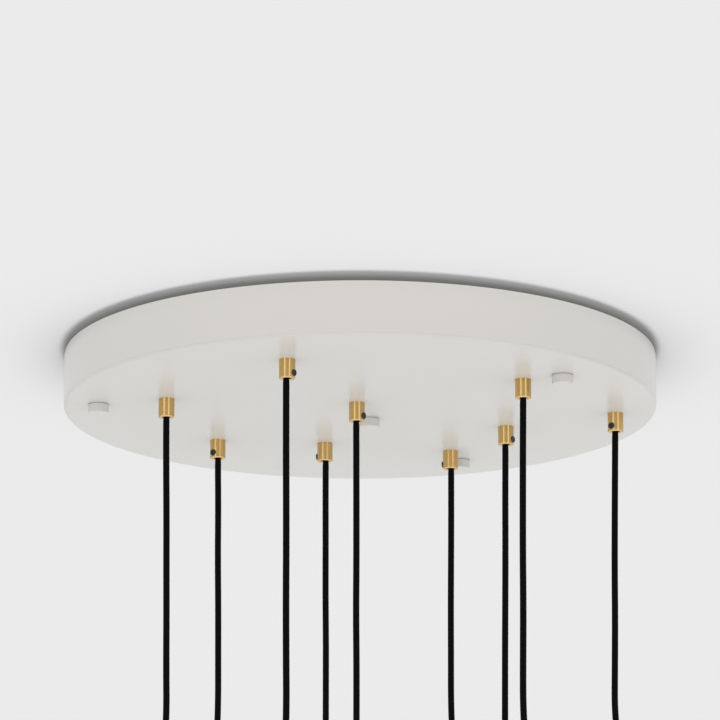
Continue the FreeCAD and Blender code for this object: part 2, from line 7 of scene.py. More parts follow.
import bmesh
import bpy
from mathutils import Matrix, Vector


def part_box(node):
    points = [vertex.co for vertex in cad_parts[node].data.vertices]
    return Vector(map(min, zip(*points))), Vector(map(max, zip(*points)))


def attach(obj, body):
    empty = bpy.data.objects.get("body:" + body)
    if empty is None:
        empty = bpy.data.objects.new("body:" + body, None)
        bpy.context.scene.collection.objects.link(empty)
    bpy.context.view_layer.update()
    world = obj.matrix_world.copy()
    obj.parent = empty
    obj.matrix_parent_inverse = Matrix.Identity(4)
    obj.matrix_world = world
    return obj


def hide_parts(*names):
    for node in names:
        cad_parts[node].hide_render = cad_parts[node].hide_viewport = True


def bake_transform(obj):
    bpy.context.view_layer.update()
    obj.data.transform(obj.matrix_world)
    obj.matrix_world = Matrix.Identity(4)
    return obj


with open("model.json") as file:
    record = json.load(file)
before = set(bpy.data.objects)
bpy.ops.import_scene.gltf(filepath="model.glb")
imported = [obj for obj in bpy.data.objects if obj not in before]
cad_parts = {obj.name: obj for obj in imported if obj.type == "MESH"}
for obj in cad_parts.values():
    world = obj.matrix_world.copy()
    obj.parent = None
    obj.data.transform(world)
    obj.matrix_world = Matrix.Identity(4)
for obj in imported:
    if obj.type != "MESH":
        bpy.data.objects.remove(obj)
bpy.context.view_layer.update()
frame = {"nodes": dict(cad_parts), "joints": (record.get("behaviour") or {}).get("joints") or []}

MM = 0.001
NUMBERS = range(1, 10)
STUD_NUMBERS = range(1, 5)

# ---------------------------------------------------------------- places, read from the frame

JOINTS = {joint["name"]: joint for joint in frame["joints"]}
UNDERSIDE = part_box("canopy_pan")[0].z
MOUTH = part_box("cord_grips")[0].z
CANOPY_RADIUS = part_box("canopy_pan")[1].x
CORD_DIAMETER = 6 * MM


def cord_line(number):
    """(x, y) of a pendant's cord."""
    pivot = JOINTS[f"pendant_{number}_swing"]["pos_m"]
    return pivot[0], pivot[1]


def screw_line(number):
    """The clamp screw's place on its grip's axis, and the direction that it faces."""
    joint = JOINTS[f"clamp_screw_{number}_turn"]
    return Vector(joint["pos_m"]), Vector(joint["axis"])


# ---------------------------------------------------------------- camera

CAMERA_DISTANCE = 4.5
CAMERA_BELOW = 1.1337  # below the canopy's underside
CAMERA_PITCH = 14.780  # degrees above the horizon
CAMERA_LENS = 228.93


def make_camera():
    data = bpy.data.cameras.new("camera")
    data.sensor_width = 36.0
    data.lens = CAMERA_LENS
    data.clip_end = 100.0
    camera = bpy.data.objects.new("camera", data)
    camera.location = (0, -CAMERA_DISTANCE, UNDERSIDE - CAMERA_BELOW)
    camera.rotation_euler = (math.radians(90 + CAMERA_PITCH), 0, 0)
    bpy.context.scene.collection.objects.link(camera)
    bpy.context.scene.camera = camera


make_camera()

# ---------------------------------------------------------------- building blocks

SHARP_FROM = 35  # degrees between two faces, above which their edge is drawn sharp
BEVEL_FROM = 40  # degrees, above which an edge is rounded
BEVEL_SEGMENTS = 2
ARC_STEPS = 6
TURNED_SIDES = 96
MERGE = 1e-6


def new_object(name, mesh, sharp_angle=SHARP_FROM):
    """A smooth-shaded object in the frame, with its edges sharp above that angle."""
    mesh.shade_smooth()
    mesh.set_sharp_from_angle(angle=math.radians(sharp_angle))
    obj = bpy.data.objects.new(name, mesh)
    bpy.context.scene.collection.objects.link(obj)
    return obj


def mesh_of(name, points, faces):
    mesh = bpy.data.meshes.new(name)
    mesh.from_pydata(points, [], faces)
    mesh.update()
    return mesh


def grid_faces(rows, columns, close_rows=False):
    """Faces between rings of that many points each, and back to the first ring if asked."""
    faces = []
    last = rows if close_rows else rows - 1
    for i in range(last):
        for j in range(columns):
            a = i * columns + j
            b = i * columns + (j + 1) % columns
            step = (i + 1) % rows * columns
            faces.append((a, b, step + (j + 1) % columns, step + j))
    return faces


def turned(name, outline, centre, sides=TURNED_SIDES, wave=None):
    """A closed outline of (radius, height) in mm, turned about the upright line through centre.

    wave, if given, is (pitch, depth): a round screw thread laid over the outline, in mm.
    """
    points = []
    for k in range(sides):
        angle = 2 * math.pi * k / sides
        for radius, height in outline:
            if wave and radius:
                radius += wave[1] / 2 * math.cos(2 * math.pi * height / wave[0] - angle)
            place = Vector((radius * math.cos(angle), radius * math.sin(angle), height))
            points.append(centre + place * MM)
    mesh = mesh_of(name, points, grid_faces(sides, len(outline), True))
    tidy = bmesh.new()
    tidy.from_mesh(mesh)
    bmesh.ops.remove_doubles(tidy, verts=tidy.verts, dist=MERGE)
    bmesh.ops.dissolve_degenerate(tidy, edges=tidy.edges, dist=MERGE)
    bmesh.ops.recalc_face_normals(tidy, faces=tidy.faces)
    tidy.to_mesh(mesh)
    tidy.free()
    return new_object(name, mesh)


def arc(centre_radius, centre_height, radius, start, end):
    """Points of an arc in an outline, from one angle to another in degrees."""
    points = []
    for k in range(ARC_STEPS + 1):
        turn = math.radians(start + (end - start) * k / ARC_STEPS)
        across = centre_radius + radius * math.cos(turn)
        points.append((across, centre_height + radius * math.sin(turn)))
    return points


def heights_between(low, high, step):
    """Even heights from low to high, at most a step apart."""
    count = math.ceil((high - low) / step)
    return [low + (high - low) * k / count for k in range(count + 1)]


def soften(obj, width):
    """Rounds an object's edges with a small bevel."""
    bevel = obj.modifiers.new("edges", "BEVEL")
    bevel.width = width
    bevel.segments = BEVEL_SEGMENTS
    bevel.limit_method = "ANGLE"
    bevel.angle_limit = math.radians(BEVEL_FROM)
    bevel.harden_normals = True
    return obj


def finish_piece(obj, material, slot, body, *nodes):
    """Gives a piece its material and its body, and lets it stand for those nodes; slot is not
    used.
    """
    obj.data.materials.clear()
    obj.data.materials.append(materials[material])
    if nodes:
        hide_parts(*nodes)
    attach(obj, body)


# ---------------------------------------------------------------- clamp screws

# degrees from upright
SLOT_TURNS = {1: 0, 2: 24, 3: -18, 4: 40, 5: 12, 6: -30, 7: -14, 8: 0, 9: 30}
SCREW_EDGE = 0.25 * MM


def make_screw(number):
    """A slotted clamp screw, left at its own angle by whoever tightened it."""
    place, axis = screw_line(number)
    node = f"clamp_screw_{number}"
    mesh = frame["nodes"][node].data.copy()
    turn = Matrix.Rotation(math.radians(SLOT_TURNS[number]), 4, axis)
    mesh.transform(Matrix.Translation(place) @ turn @ Matrix.Translation(-place))
    screw = soften(new_object(f"slotted_screw_{number}", mesh), SCREW_EDGE)
    finish_piece(screw, "gunmetal", "black_steel", JOINTS[f"{node}_turn"]["child"], node)


# ---------------------------------------------------------------- threads inside the canopy

THREAD_STEP = 0.2  # the threads' sizes are in mm
STUD_RADIUS = 2.5
STUD_PITCH = 0.8
STUD_DEPTH = 0.4
STUD_SIDES = 24
STUD_END = 0.1  # above the plain stud's lower end
STUD_THREAD_START = 0.4
STUD_POINT = 0.6  # taken off the radius at its end
GRIP_NECK_RADIUS = 5.0
GRIP_NECK_PITCH = 1.0
GRIP_NECK_DEPTH = 0.5
GRIP_NECK_SHEET = 0.4
GRIP_NECK_SIDES = 48
GRIP_NECK_START = 5.5  # above the canopy's underside, at the top of the lock nut
GRIP_NECK_END = 11.7


def make_studs():
    """The four studs with a real thread. The first stands for the frame's plain ones."""
    corners = [vertex.co.copy() for vertex in frame["nodes"]["bracket_studs"].data.vertices]
    reach = 2 * STUD_RADIUS * MM
    radius = STUD_RADIUS - STUD_DEPTH / 2
    for number in STUD_NUMBERS:
        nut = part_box(f"cap_nut_{number}")
        middle = (nut[0] + nut[1]) / 2
        own = [co.z for co in corners if math.hypot(co.x - middle.x, co.y - middle.y) < reach]
        low, high = min(own) / MM, max(own) / MM
        outline = [(0.0, low + STUD_END), (radius - STUD_POINT, low + STUD_END)]
        levels = heights_between(low + STUD_THREAD_START, high, THREAD_STEP)
        outline += [(radius, level) for level in levels] + [(0.0, high)]
        foot = Vector((middle.x, middle.y, 0))
        wave = (STUD_PITCH, STUD_DEPTH)
        stud = turned(f"stud_{number}", outline, foot, STUD_SIDES, wave)
        stood_for = ["bracket_studs"] if number == STUD_NUMBERS[0] else []
        finish_piece(stud, "zinc", "zinc_steel", "root", *stood_for)


def make_neck_thread(number):
    """The thread of a grip's neck where it stands out of its lock nut, inside the canopy."""
    place = screw_line(number)[0]
    foot = Vector((place.x, place.y, UNDERSIDE))
    levels = heights_between(GRIP_NECK_START, GRIP_NECK_END, THREAD_STEP)
    outline = [(GRIP_NECK_RADIUS, level) for level in levels]
    outline += [(GRIP_NECK_RADIUS - GRIP_NECK_SHEET, level) for level in (levels[-1], levels[0])]
    wave = (GRIP_NECK_PITCH, GRIP_NECK_DEPTH)
    thread = turned(f"neck_thread_{number}", outline, foot, GRIP_NECK_SIDES, wave)
    finish_piece(thread, "holder_brass", "grip_brass", "root")


# ---------------------------------------------------------------- lampholders

# the lampholder's sizes are in mm, with heights from the lower rim of the shell or the insert
HOLDER_RADIUS = 21.0
HOLDER_WALL = 1.5
HOLDER_HEIGHT = 58.0
NECK_RADIUS = 7.0
NECK_TOP = 70.0
NECK_BORE = 3.1
SHOULDER_FOOT = 51.0
SHOULDER_ROUND = 3.0
SHOULDER_TURN = math.degrees(
    math.atan2(HOLDER_RADIUS - NECK_RADIUS, HOLDER_HEIGHT - SHOULDER_FOOT)
)
SHELL_EDGE = 0.4
NECK_EDGE = 0.5
NECK_BORE_EDGE = 0.3
NECK_FILLET = ((1.4, -0.7), (0.5, 0.0), (0.0, 1.0))  # from the neck's foot: outwards and upwards
GROOVES = (5.0, 8.0)
GROOVE_WIDTH = 0.9
GROOVE_DEPTH = 0.35
GROOVE_SLOPE = 0.2
INSERT_RADIUS = 19.4
INSERT_LENGTH = 34.0
INSERT_RECESS = 3.0
INSERT_EDGE = 0.5
SOCKET_RADIUS = 13.3
SOCKET_DEPTH = 26.0
SOCKET_EDGE = 0.8
SLEEVE_RADIUS = 12.95
SLEEVE_SHEET = 0.35
SLEEVE_FOOT = 3.0
SLEEVE_TOP = 23.5
SLEEVE_STEP = 0.43
SLEEVE_WAVE = (3.63, 0.5)
# the centre contact's outline: radius, and how far below the socket's end
CONTACT = ((0.0, 3.2), (1.6, 3.0), (2.4, 2.4), (2.4, 1.6), (4.2, 1.2), (4.2, 0.0), (0.0, 0.0))
CONTACT_SIDES = 48
GRUB_RADIUS = 1.5
GRUB_HEIGHT = 64.0
GRUB_START = 3.5  # from the holder's axis
GRUB_STAND_OUT = 0.1
GRUB_EDGE = 0.2
GRUB_HOLLOW_RADIUS = 0.75
GRUB_HOLLOW_DEPTH = 1.2
GRUB_SIDES = 24


def shell_outline():
    outline = [(HOLDER_RADIUS - SHELL_EDGE, 0.0), (HOLDER_RADIUS, SHELL_EDGE)]
    floor = HOLDER_RADIUS - GROOVE_DEPTH
    for groove in GROOVES:
        outline += [(HOLDER_RADIUS, groove), (floor, groove + GROOVE_SLOPE)]
        outline += [(floor, groove + GROOVE_WIDTH - GROOVE_SLOPE)]
        outline += [(HOLDER_RADIUS, groove + GROOVE_WIDTH)]
    setback = SHOULDER_ROUND * math.tan(math.radians(SHOULDER_TURN) / 2)
    centre = (HOLDER_RADIUS - SHOULDER_ROUND, SHOULDER_FOOT - setback)
    outline += arc(*centre, SHOULDER_ROUND, 0, SHOULDER_TURN)
    outline += [(NECK_RADIUS + out, HOLDER_HEIGHT + up) for out, up in NECK_FILLET]
    outline += [(NECK_RADIUS, NECK_TOP - NECK_EDGE), (NECK_RADIUS - NECK_EDGE, NECK_TOP)]
    outline += [(NECK_BORE + NECK_BORE_EDGE, NECK_TOP), (NECK_BORE, NECK_TOP - NECK_BORE_EDGE)]
    inner = HOLDER_RADIUS - HOLDER_WALL
    outline += [(NECK_BORE, HOLDER_HEIGHT - 2 * HOLDER_WALL)]
    return outline + [(inner, SHOULDER_FOOT - HOLDER_WALL), (inner, 0.0)]


def insert_outline():
    outline = [(SOCKET_RADIUS + SOCKET_EDGE, 0.0), (INSERT_RADIUS - INSERT_EDGE, 0.0)]
    outline += [(INSERT_RADIUS, INSERT_EDGE), (INSERT_RADIUS, INSERT_LENGTH)]
    outline += [(0.0, INSERT_LENGTH), (0.0, SOCKET_DEPTH)]
    return outline + [(SOCKET_RADIUS, SOCKET_DEPTH), (SOCKET_RADIUS, SOCKET_EDGE)]


def sleeve_outline():
    heights = heights_between(SLEEVE_FOOT, SLEEVE_TOP, SLEEVE_STEP)
    outside = [(SLEEVE_RADIUS, height) for height in heights]
    inside = [(SLEEVE_RADIUS - SLEEVE_SHEET, height) for height in reversed(heights)]
    return outside + inside


def contact_outline():
    return [(radius, SOCKET_DEPTH - below) for radius, below in CONTACT]


def grub_outline():
    """A hollow-ended screw along the upright line, which is then laid on its side."""
    face = NECK_RADIUS + GRUB_STAND_OUT
    floor = face - GRUB_HOLLOW_DEPTH
    outline = [(0.0, GRUB_START), (GRUB_RADIUS, GRUB_START), (GRUB_RADIUS, face - GRUB_EDGE)]
    outline += [(GRUB_RADIUS - GRUB_EDGE, face), (GRUB_HOLLOW_RADIUS, face)]
    return outline + [(GRUB_HOLLOW_RADIUS, floor), (0.0, floor)]


def make_lampholder(number):
    """Shell, insert, threaded sleeve, centre contact, and the grub screw that holds the cord."""
    x, y = cord_line(number)
    body = JOINTS[f"pendant_{number}_swing"]["child"]
    rim = Vector((x, y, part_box(f"lampholder_shell_{number}")[0].z))
    floor = rim + Vector((0, 0, INSERT_RECESS * MM))
    shell = turned(f"holder_shell_{number}", shell_outline(), rim)
    finish_piece(shell, "holder_brass", "holder_brass", body, f"lampholder_shell_{number}")
    insert = turned(f"holder_insert_{number}", insert_outline(), floor)
    finish_piece(insert, "phenolic", "socket_insert", body, f"lampholder_insert_{number}")
    sleeve = turned(f"socket_sleeve_{number}", sleeve_outline(), floor, wave=SLEEVE_WAVE)
    finish_piece(sleeve, "contact_brass", "terminal_brass", body)
    contact = turned(f"socket_contact_{number}", contact_outline(), floor, CONTACT_SIDES)
    finish_piece(contact, "contact_brass", "terminal_brass", body)
    grub = turned(f"holder_grub_{number}", grub_outline(), Vector((0, 0, 0)), GRUB_SIDES)
    sideways = Matrix.Rotation(math.radians(90), 4, "X")
    grub.data.transform(Matrix.Translation(rim + Vector((0, 0, GRUB_HEIGHT * MM))) @ sideways)
    finish_piece(grub, "gunmetal", "black_steel", body)
    return [shell, insert, sleeve, contact, grub]


# ---------------------------------------------------------------- cords

CORD_ABOVE_MOUTH = 2 * MM  # the hanging cord starts inside its grip
CORD_IN_HOLDER = 20 * MM
CORD_SIDES = 32
CORD_RING_STEP = 0.5 * MM
CORD_SWELL = 0.18 * MM  # how much the braid's radius opens where nothing squeezes it
SWELL_START = 2 * MM
SWELL_LENGTH = 5 * MM
BRAID_CARRIERS = 8  # yarns that wind each way
BRAID_LAY = 16 * MM  # one full turn of a yarn
BRAID_RELIEF = 0.24 * MM
SQUEEZED_RELIEF = 0.3  # share of the relief that is left where the braid is squeezed
ROUTE_STEP = 55 * MM
ROUTE_WANDER = 0.25 * MM
ROUTE_LEAN = 0.057  # of a cord's x, for each metre that it hangs
SETTLE_DEPTH = 10 * MM
SETTLE_INSIDE = 0.8  # share of it that the cord already has inside its grip
RETURN_HEIGHT = 80 * MM  # above its end, a cord comes back over its lampholder's middle
STRAIGHT_FOOT = 30 * MM
# sideways under the grip, in mm
CORD_SETTLE = {1: -0.1, 2: -0.5, 3: 0.0, 4: -0.3, 5: 0.3, 6: -0.5, 7: 0.4, 8: -0.2, 9: -1.2}
ROUTE_RESOLUTION = 24
CORD_SHARP_FROM = 80


def cord_route(number):
    """Control points of a hanging cord: straight down, with the small wander of a real cord."""
    x, y = cord_line(number)
    top = MOUTH + CORD_ABOVE_MOUTH
    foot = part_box(f"pendant_cord_{number}")[0].z
    wander = random.Random(number)
    count = round((top - foot) / ROUTE_STEP)
    settle = CORD_SETTLE[number] * MM
    points = [Vector((x + SETTLE_INSIDE * settle, y, top))]
    points.append(Vector((x + settle, y, top - SETTLE_DEPTH)))
    last = foot + RETURN_HEIGHT
    for k in range(1, count):
        z = top + (last - top) * k / (count - 1)
        sideways = settle - x * ROUTE_LEAN * (top - z) + wander.uniform(-1, 1) * ROUTE_WANDER
        points.append(Vector((x + sideways, y + wander.uniform(-1, 1) * ROUTE_WANDER, z)))
    points += [Vector((x, y, foot + STRAIGHT_FOOT)), Vector((x, y, foot))]
    return points


def spline_points(points):
    """The NURBS line through a route's control points, as points along it."""
    curve = bpy.data.curves.new("route", "CURVE")
    curve.dimensions = "3D"
    curve.resolution_u = ROUTE_RESOLUTION
    spline = curve.splines.new("NURBS")
    spline.points.add(len(points) - 1)
    for point, place in zip(spline.points, points):
        point.co = (*place, 1)
    spline.order_u = 3
    spline.use_endpoint_u = True
    holder = bpy.data.objects.new("route", curve)
    mesh = bpy.data.meshes.new_from_object(holder)
    line = [vertex.co.copy() for vertex in mesh.vertices]
    bpy.data.objects.remove(holder)
    bpy.data.curves.remove(curve)
    bpy.data.meshes.remove(mesh)
    return line


def evenly(line, step):
    """The same line with points that far apart, and how far along it each is."""
    along = [0.0]
    for a, b in zip(line, line[1:]):
        along.append(along[-1] + (b - a).length)
    count = max(2, round(along[-1] / step))
    points = []
    marks = []
    k = 0
    for i in range(count + 1):
        mark = along[-1] * i / count
        while k < len(line) - 2 and along[k + 1] < mark:
            k += 1
        share = (mark - along[k]) / (along[k + 1] - along[k])
        points.append(line[k].lerp(line[k + 1], share))
        marks.append(mark)
    return points, marks


def braid_height(turn, along):
    """Relief of a braid, -1 to 1, at a share of a turn round the cord and a length along it."""
    one = turn * BRAID_CARRIERS + along / BRAID_LAY * BRAID_CARRIERS
    other = turn * BRAID_CARRIERS - along / BRAID_LAY * BRAID_CARRIERS
    return math.cos(2 * math.pi * one) * math.cos(2 * math.pi * other)


def smooth_step(value):
    value = min(max(value, 0.0), 1.0)
    return value * value * (3 - 2 * value)


def openness(mark, length):
    """How far the braid has opened that far along the cord: 0 where something squeezes it."""
    under_grip = smooth_step((mark - SWELL_START) / SWELL_LENGTH)
    over_holder = smooth_step((length - CORD_IN_HOLDER - mark) / SWELL_LENGTH)
    return min(under_grip, over_holder)


def braided_tube(name, line, diameter):
    """A closed tube with braid relief along a line.

    Its attribute braid holds each corner's turn and length along the cord, for the material.
    """
    points, marks = evenly(line, CORD_RING_STEP)
    across = Vector((1, 0, 0))
    vertices = []
    for i, (place, mark) in enumerate(zip(points, marks)):
        ahead = (points[min(i + 1, len(points) - 1)] - points[max(i - 1, 0)]).normalized()
        across = (across - ahead * across.dot(ahead)).normalized()
        other = ahead.cross(across)
        open_share = openness(mark, marks[-1])
        relief = BRAID_RELIEF * (SQUEEZED_RELIEF + (1 - SQUEEZED_RELIEF) * open_share)
        for j in range(CORD_SIDES):
            turn = j / CORD_SIDES
            radius = diameter / 2 + CORD_SWELL * open_share + relief * braid_height(turn, mark) / 2
            angle = 2 * math.pi * turn
            vertices.append(place + (across * math.cos(angle) + other * math.sin(angle)) * radius)
    rows = len(points)
    faces = grid_faces(rows, CORD_SIDES)
    faces.append(tuple(range(CORD_SIDES)))
    faces.append(tuple(range((rows - 1) * CORD_SIDES, rows * CORD_SIDES))[::-1])
    mesh = mesh_of(name, vertices, faces)
    coords = mesh.attributes.new("braid", "FLOAT_VECTOR", "CORNER")
    for polygon in mesh.polygons:
        columns = [mesh.loops[k].vertex_index % CORD_SIDES for k in polygon.loop_indices]
        wraps = max(columns) - min(columns) > CORD_SIDES / 2
        for k, column in zip(polygon.loop_indices, columns):
            turn = column / CORD_SIDES
            if wraps and column < CORD_SIDES / 2:
                turn += 1
            row = mesh.loops[k].vertex_index // CORD_SIDES
            coords.data[k].vector = (turn, marks[row], 0)
    return new_object(name, mesh, CORD_SHARP_FROM), points


def make_cord(number):
    """The hanging cord, its top inside the grip, and its lampholder."""
    line = spline_points(cord_route(number))
    obj, path = braided_tube(f"textile_cord_{number}", line, CORD_DIAMETER)
    obj.data.materials.append(materials["textile"])
    obj.visible_glossy = False
    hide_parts(f"pendant_cord_{number}")
    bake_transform(obj)
    holder = make_lampholder(number)


# ---------------------------------------------------------------- materials


def add_node(tree, kind, inputs, **settings):
    """A node of that kind, with its settings, and its inputs linked or set."""
    node = tree.nodes.new(kind)
    for key, value in settings.items():
        setattr(node, key, value)
    for key, value in inputs.items():
        if isinstance(value, bpy.types.NodeSocket):
            tree.links.new(value, node.inputs[key])
        else:
            node.inputs[key].default_value = value
    return node


class Nodes:
    """A material's node tree with short ways to add nodes to it."""

    def __init__(self, name, **sockets):
        self.material = bpy.data.materials.new(name)
        self.material.use_nodes = True
        self.tree = self.material.node_tree
        self.shader = self.tree.nodes["Principled BSDF"]
        for socket, value in sockets.items():
            self.shader.inputs[socket.replace("_", " ")].default_value = value

    def add(self, kind, inputs=None, **settings):
        return add_node(self.tree, kind, inputs or {}, **settings)

    def math(self, operation, *values):
        inputs = dict(enumerate(values))
        return self.add("ShaderNodeMath", inputs, operation=operation).outputs[0]

    def place(self):
        return self.add("ShaderNodeTexCoord").outputs["Object"]

    def noise(self, scale, detail=2.0, roughness=0.5):
        inputs = {"Scale": scale, "Detail": detail, "Roughness": roughness}
        inputs["Vector"] = self.place()
        return self.add("ShaderNodeTexNoise", inputs).outputs["Fac"]

    def spread(self, value, low, high):
        """A value from 0 to 1 as one from low to high."""
        inputs = {"Value": value, "To Min": low, "To Max": high}
        return self.add("ShaderNodeMapRange", inputs).outputs["Result"]

    def mix(self, share, one, other):
        """A colour between two, each an output of a node or red, green and blue."""
        inputs = {"Factor": share}
        for key, value in ((6, one), (7, other)):
            inputs[key] = value if isinstance(value, bpy.types.NodeSocket) else (*value, 1)
        return self.add("ShaderNodeMix", inputs, data_type="RGBA").outputs[2]

    def bump(self, height, distance, strength):
        inputs = {"Height": height, "Distance": distance, "Strength": strength}
        return self.add("ShaderNodeBump", inputs).outputs["Normal"]

    def set(self, **links):
        """Links outputs to the shader's sockets."""
        for socket, output in links.items():
            self.tree.links.new(output, self.shader.inputs[socket.replace("_", " ")])
        return self.material


EDGE_ROUND = 3 * MM
PAINTED_EDGE_SHADE = 0.05  # painted shade: the canopy's colour is a little darker over its rounded edge at the underside
PAINT = ((0.632, 0.624, 0.597), (0.648, 0.640, 0.613))
PAINT_ROUGHNESS = (0.23, 0.27)
LATHE_RINGS = 4200.0  # for each metre along a turned piece
TURNED_BRASS = ((0.58, 0.385, 0.15), (0.64, 0.43, 0.175))
CONTACT_BRASS = ((0.66, 0.50, 0.24), (0.74, 0.57, 0.29))
TEXTILE_SURFACE = {
    "Roughness": 0.85, "Sheen_Weight": 0.03, "Sheen_Roughness": 0.4, "Specular_IOR_Level": 0.07,
}
TEXTILE_DARK = (0.0015, 0.0015, 0.0017)
TEXTILE_LIGHT = (0.0075, 0.0075, 0.0083)
WEAVE_SCALE = 650.0
METAL_GRAIN = 1800
PLASTIC_GRAIN = 900


def paint_material():
    """Off-white satin powder coat: small changes of gloss and hardly any of colour, and painted
    shade over the canopy's rounded edge.
    """
    n = Nodes("off_white_powder_coat", Specular_IOR_Level=0.35, IOR=1.45)
    colour = n.mix(n.noise(9, 3), *PAINT)
    parts = n.add("ShaderNodeSeparateXYZ", {0: n.place()}).outputs
    squares = [n.math("POWER", parts[axis], 2.0) for axis in ("X", "Y")]
    from_axis = n.math("SQRT", n.math("ADD", *squares))
    # painted shade: the colour darkens where the rounded rim meets the underside
    at_rim = n.math("GREATER_THAN", from_axis, CANOPY_RADIUS - EDGE_ROUND)
    at_foot = n.math("LESS_THAN", parts["Z"], UNDERSIDE + EDGE_ROUND)
    edge = n.math("MULTIPLY", n.math("MULTIPLY", at_rim, at_foot), PAINTED_EDGE_SHADE)
    colour = n.mix(edge, colour, (0.0, 0.0, 0.0))
    roughness = n.spread(n.noise(35), *PAINT_ROUGHNESS)
    return n.set(Base_Color=colour, Roughness=roughness)


def brass_material(name, one, other, rough=0.30):
    """Turned brass: fine rings from the lathe, which spread a lamp's glint up and down."""
    n = Nodes(name, Metallic=1.0, Anisotropic=0.5, Anisotropic_Rotation=0.25)
    tangent = n.add("ShaderNodeTangent", direction_type="RADIAL", axis="Z").outputs[0]
    height = n.add("ShaderNodeSeparateXYZ", {0: n.place()}).outputs["Z"]
    along = {"W": n.math("MULTIPLY", height, LATHE_RINGS), "Scale": 1.0, "Detail": 3.0}
    rings = n.add("ShaderNodeTexNoise", along, noise_dimensions="1D").outputs["Fac"]
    blotch = n.noise(160, 3)
    ringed = n.spread(rings, rough - 0.03, rough + 0.03)
    roughness = n.math("ADD", ringed, n.spread(blotch, -0.02, 0.02))
    colour = n.mix(blotch, one, other)
    normal = n.bump(rings, 0.00001, 0.25)
    return n.set(Base_Color=colour, Roughness=roughness, Normal=normal, Tangent=tangent)


def textile_material():
    """Black braided textile: the yarns' ridges, painted shade in the hollows between them, and a
    little sheen.
    """
    n = Nodes("black_textile", **TEXTILE_SURFACE)
    coords = n.add("ShaderNodeAttribute", attribute_name="braid").outputs["Vector"]
    parts = n.add("ShaderNodeSeparateXYZ", {0: coords}).outputs
    around = n.math("MULTIPLY", parts["X"], float(BRAID_CARRIERS))
    along = n.math("MULTIPLY", parts["Y"], BRAID_CARRIERS / BRAID_LAY)
    one = n.math("COSINE", n.math("MULTIPLY", n.math("ADD", around, along), math.tau))
    other = n.math("COSINE", n.math("MULTIPLY", n.math("SUBTRACT", around, along), math.tau))
    cells = n.spread(n.math("MULTIPLY", one, other), 0.0, 1.0)
    # painted shade: the braid's hollows are coloured darker than its ridges
    colour = n.mix(cells, TEXTILE_DARK, TEXTILE_LIGHT)
    return n.set(Base_Color=colour, Normal=n.bump(cells, 0.0002, 0.8))


def plain_metal(name, one, other, rough, scale=60):
    """Plated steel: small patches of tone and gloss."""
    n = Nodes(name, Metallic=1.0)
    patches = n.noise(scale, 4, 0.6)
    colour = n.mix(patches, one, other)
    roughness = n.spread(patches, rough - 0.06, rough + 0.06)
    normal = n.bump(n.noise(METAL_GRAIN), 0.00001, 0.4)
    return n.set(Base_Color=colour, Roughness=roughness, Normal=normal)


def tail_material():
    """The same textile on the cords' inner ends: the braid as a small woven grain, with painted
    shade in its hollows.
    """
    n = Nodes("black_textile_inside", **TEXTILE_SURFACE)
    weave = {"Vector": n.place(), "Scale": WEAVE_SCALE}
    cells = n.add("ShaderNodeTexVoronoi", weave).outputs["Distance"]
    # painted shade: darker towards each woven cell's sunken edge
    colour = n.mix(cells, TEXTILE_LIGHT, TEXTILE_DARK)
    return n.set(Base_Color=colour, Normal=n.bump(cells, -0.0003, 0.8))


def plain_plastic(name, one, other, rough):
    """Moulded plastic: a fine spark-eroded grain and a faint change of tone."""
    n = Nodes(name)
    colour = n.mix(n.noise(25), one, other)
    roughness = n.spread(n.noise(120), rough - 0.05, rough + 0.05)
    normal = n.bump(n.noise(PLASTIC_GRAIN), 0.00004, 0.4)
    return n.set(Base_Color=colour, Roughness=roughness, Normal=normal)


materials = {
    "paint": paint_material(),
    "brass": brass_material("turned_brass", *TURNED_BRASS),
    "holder_brass": brass_material("holder_brass", *TURNED_BRASS),
    "contact_brass": brass_material("contact_brass", *CONTACT_BRASS, 0.24),
    "gunmetal": plain_metal("gunmetal", (0.05, 0.05, 0.054), (0.09, 0.09, 0.095), 0.34, 500),
    "textile": textile_material(),
    "zinc": plain_metal("zinc_plate", (0.48, 0.48, 0.47), (0.62, 0.61, 0.58), 0.34),
    "tail_textile": tail_material(),
    "box": plain_plastic("white_box_plastic", (0.70, 0.70, 0.68), (0.74, 0.74, 0.72), 0.45),
    "strip": plain_plastic("natural_nylon", (0.62, 0.60, 0.52), (0.68, 0.66, 0.58), 0.40),
    "rubber": plain_plastic("black_rubber", (0.012, 0.012, 0.012), (0.02, 0.02, 0.02), 0.75),
    "phenolic": plain_plastic("black_phenolic", (0.012, 0.012, 0.013), (0.02, 0.02, 0.021), 0.30),
}


def dress(node, material):
    mesh = frame["nodes"][node].data
    mesh.materials.clear()
    mesh.materials.append(materials[material])


PLAIN_NODES = {
    "canopy_pan": "paint",
    "cord_grips": "brass",
    "cord_tails": "tail_textile",
    "bracket_hub": "zinc",
    "bracket_arms": "zinc",
    "stud_nuts": "zinc",
    "grip_washers": "zinc",
    "grip_lock_nuts": "zinc",
    "terminal_box": "box",
    "terminal_lid": "box",
    "terminal_strip": "strip",
    "terminal_screws": "contact_brass",
    "supply_grommet": "rubber",
}
EDGES = {
    "bracket_hub": 0.3 * MM,
    "bracket_arms": 0.3 * MM,
    "terminal_box": 0.8 * MM,
    "terminal_lid": 0.5 * MM,
    "terminal_strip": 0.4 * MM,
    "grip_lock_nuts": 0.3 * MM,
    "stud_nuts": 0.3 * MM,
    "terminal_screws": 0.2 * MM,
}


def dress_frame():
    """Materials and rounded edges for the frame's pieces that stay. The others are replaced."""
    for node, material in PLAIN_NODES.items():
        dress(node, material)
    for number in STUD_NUMBERS:
        dress(f"cap_nut_{number}", "paint")
        dress(f"cap_washer_{number}", "zinc")
    for node, width in EDGES.items():
        soften(frame["nodes"][node], width)


dress_frame()
make_studs()
for pendant in NUMBERS:
    make_cord(pendant)
    make_screw(pendant)
    make_neck_thread(pendant)

# ---------------------------------------------------------------- stage, world and lamps

